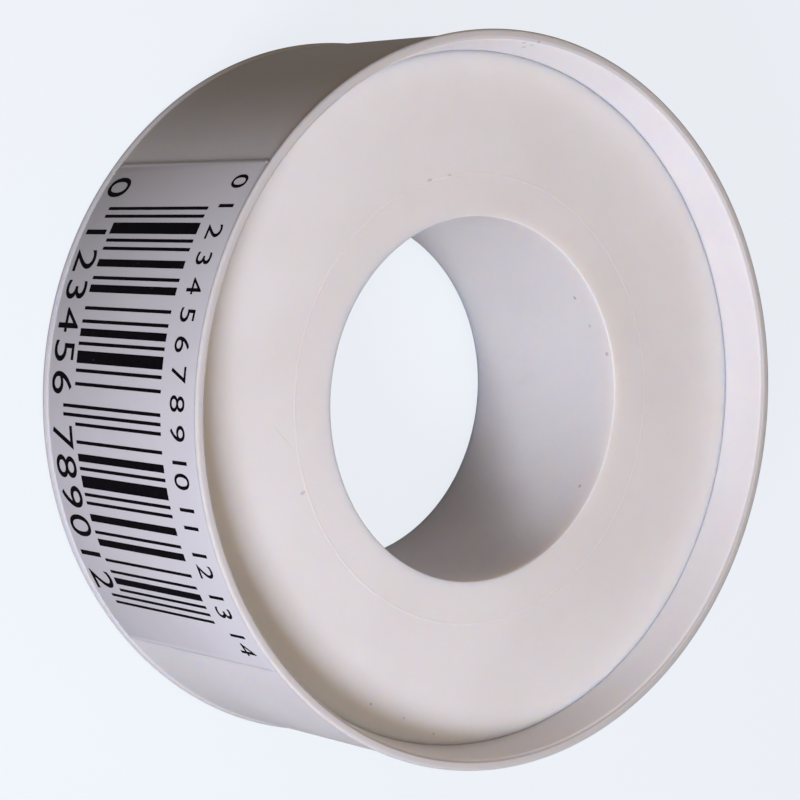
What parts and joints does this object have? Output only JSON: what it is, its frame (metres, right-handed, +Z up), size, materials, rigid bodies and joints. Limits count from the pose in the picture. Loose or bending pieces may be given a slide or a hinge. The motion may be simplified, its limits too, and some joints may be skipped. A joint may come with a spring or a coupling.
{
  "type": "thread seal tape roll",
  "caption": "Roll of thread seal tape on a flanged spool that turns in, and pulls out of, a round white plastic shell with a label on its wall.",
  "frame": {"origin": "middle of the rear face, on the roll's axis, where the roll lies on a surface", "axes": "+Z along the roll's axis, out of the open front; the label faces -Y and reads left to right with +Z up"},
  "size_m": [0.05, 0.05, 0.019],
  "materials": {
    "shell_plastic": "smooth moulded white polypropylene",
    "label_paper": "white self-adhesive label, half gloss, printed in black",
    "spool_plastic": "smooth moulded white polypropylene",
    "tape_film": "soft white PTFE film"
  },
  "bodies": {
    "shell": {"shell": "shell_plastic", "label": "label_paper"},
    "tape_end": {"tape_end": "tape_film"},
    "spool": {"spool": "spool_plastic", "tape_winding": "tape_film"}
  },
  "joints": [
    {"name": "roll_pull", "type": "slide", "parent": "shell", "child": "tape_end", "axis": [0, 0, 1], "range_m": [0, 0.03]},
    {"name": "spool_turn", "type": "hinge", "parent": "tape_end", "child": "spool", "pos_m": [0, 0, 0], "axis": [0, 0, 1], "continuous": true}
  ]
}
